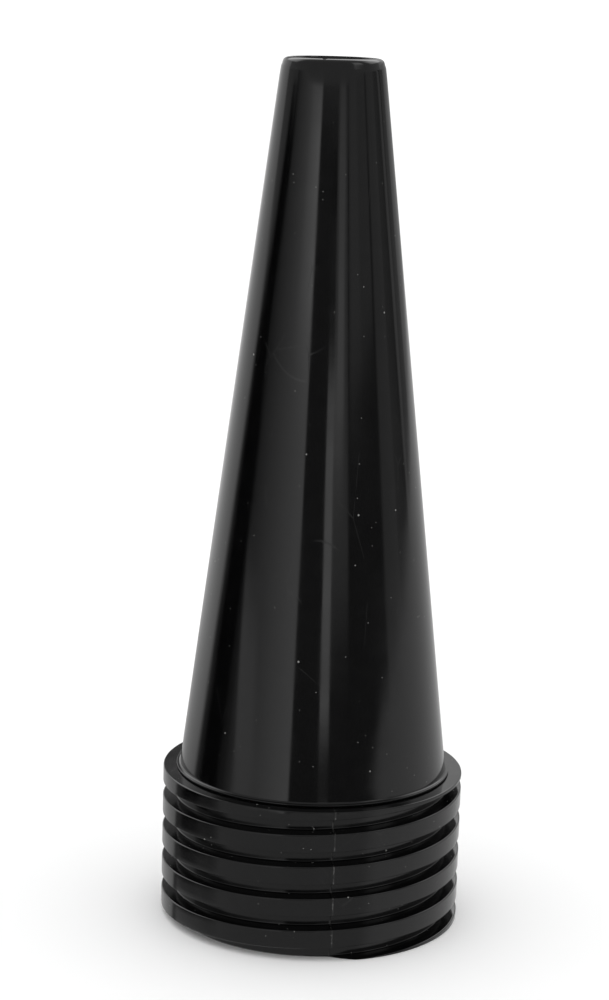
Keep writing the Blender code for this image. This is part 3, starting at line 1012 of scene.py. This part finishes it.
def make_world():
    world = bpy.data.worlds.new("studio")
    bpy.context.scene.world = world
    studio = Studio(world)
    studio.base(0.09)
    hang_left_cards(studio)
    hang_middle_cards(studio)
    hang_right_cards(studio)
    lay_table(studio)
    hang_top_light(studio)
    rays = studio.add("ShaderNodeLightPath")
    gloss = rays.outputs["Is Glossy Ray"]
    change = studio.math("SUBTRACT", studio.light, ROOM_LEVEL)
    strength = studio.math("MULTIPLY_ADD", gloss, change, ROOM_LEVEL)
    background = studio.add("ShaderNodeBackground", Strength=strength)
    background.inputs["Color"].default_value = (1.0, 1.0, 1.0, 1.0)
    output = studio.add("ShaderNodeOutputWorld")
    studio.tree.links.new(background.outputs[0], output.inputs["Surface"])


def make_floor():
    """A wide pale floor, which the studio's cards stand for in the gloss."""
    size = 6.0
    surface = bmesh.new()
    bmesh.ops.create_grid(surface, x_segments=24, y_segments=24, size=size)
    mesh = bpy.data.meshes.new("floor")
    surface.to_mesh(mesh)
    surface.free()
    floor = new_object("floor", mesh)
    floor.location.z = -0.0001
    floor.visible_glossy = False
    material, nodes = new_material("pale_floor")
    colour = nodes.mix_colour(nodes.noise(3.0, 2.0), (0.955, 0.955, 0.955), (0.985, 0.985, 0.985))
    rough = nodes.ramp(nodes.noise(40.0, 2.0), 0.3, 0.7, 0.75, 0.85)
    normal = nodes.bump(nodes.noise(300.0, 2.0), 0.00005, 0.2)
    finish_material(nodes, colour, rough, normal)
    mesh.materials.append(material)


def make_overhead_light():
    """A broad soft light high above, for the floor's even tone."""
    light = bpy.data.lights.new("overhead_soft_box", "AREA")
    light.shape = "DISK"
    light.size = 1.6
    light.energy = 3.0
    obj = new_object("overhead_soft_box", light)
    obj.location = (0.0, -0.3, 2.2)
    obj.visible_camera = False
    obj.visible_glossy = False


def make_camera():
    camera = bpy.data.cameras.new("camera")
    camera.sensor_fit = "AUTO"
    camera.sensor_width = SENSOR
    camera.lens = LENS
    camera.clip_start = 0.05
    camera.clip_end = 60.0
    camera.dof.use_dof = False
    pan, tilt, roll = CAMERA_PAN, CAMERA_TILT, CAMERA_ROLL
    ahead = Vector(
        (math.sin(pan) * math.cos(tilt), math.cos(pan) * math.cos(tilt), -math.sin(tilt))
    )
    level_right = Vector((math.cos(pan), -math.sin(pan), 0.0))
    level_up = level_right.cross(ahead)
    right = level_right * math.cos(roll) + level_up * math.sin(roll)
    up = level_up * math.cos(roll) - level_right * math.sin(roll)
    obj = new_object("camera", camera)
    turn = Matrix((right, up, -ahead)).transposed()
    obj.matrix_world = Matrix.Translation(CAMERA_PLACE) @ turn.to_4x4()
    bpy.context.scene.camera = obj


# ---------------------------------------------------------------- putting it together


def fit(piece, material, node, body):
    """Gives a piece its finish, and puts it in the place of its CAD node."""
    piece.data.materials.clear()
    piece.data.materials.append(material)
    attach(piece, body)
    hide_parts(node)


def make_collar_pieces():
    stretch = (1.0, 1.0, 3.0)
    # The collar's finish carries a painted highlight along its parting line.
    collar = gloss_black("collar_black_plastic", 0.10, stretch, 0.30, PARTING_ANGLE)
    nylon = plain_plastic("natural_nylon", (0.76, 0.74, 0.68), (0.66, 0.64, 0.58), 0.42)
    fit(make_collar(), collar, "threaded_collar", "collar")
    fit(make_swivel_washer(), nylon, "swivel_washer", "collar")


def make_cone_pieces():
    gloss = gloss_black("gloss_black_plastic", 0.07, (1.0, 1.0, 0.35), 0.22)
    acetal = plain_plastic("acetal", (0.66, 0.64, 0.58), (0.54, 0.52, 0.46), 0.38)
    spring = turned_metal("spring_steel", (0.34, 0.34, 0.35), (0.50, 0.50, 0.51), 0.30, 5000.0)
    foam = rubber("foam_rubber", 1600.0, 0.85)
    fit(make_tube(), gloss, "cone_shell", "cone")
    fit(make_liner(), flock("liner_flock"), "inner_liner", "cone")
    fit(make_thrust_washer(), acetal, "thrust_washer", "cone")
    fit(make_collar_ring(), spring, "collar_snap_ring", "cone")
    fit(make_gasket(), foam, "mouth_gasket", "cone")


def make_grid_pieces():
    anodised = turned_metal(
        "black_anodised", (0.022, 0.022, 0.024), (0.050, 0.050, 0.053), 0.36, 9000.0
    )
    seal = rubber("seal_rubber", 900.0, 0.55)
    ring = turned_metal("ring_steel", (0.33, 0.33, 0.34), (0.47, 0.47, 0.48), 0.32, 6000.0)
    fit(make_holder(), anodised, "grid_holder", "grid")
    fit(make_seal_ring(), seal, "grid_o_ring", "grid")
    fit(make_honeycomb(), foil("black_foil"), "honeycomb_grid", "grid")
    fit(make_grid_ring(), ring, "grid_snap_ring", "grid")


make_camera()
make_world()
make_floor()
make_overhead_light()
make_collar_pieces()
make_cone_pieces()
make_grid_pieces()
bpy.context.scene.view_settings.view_transform = "Standard"
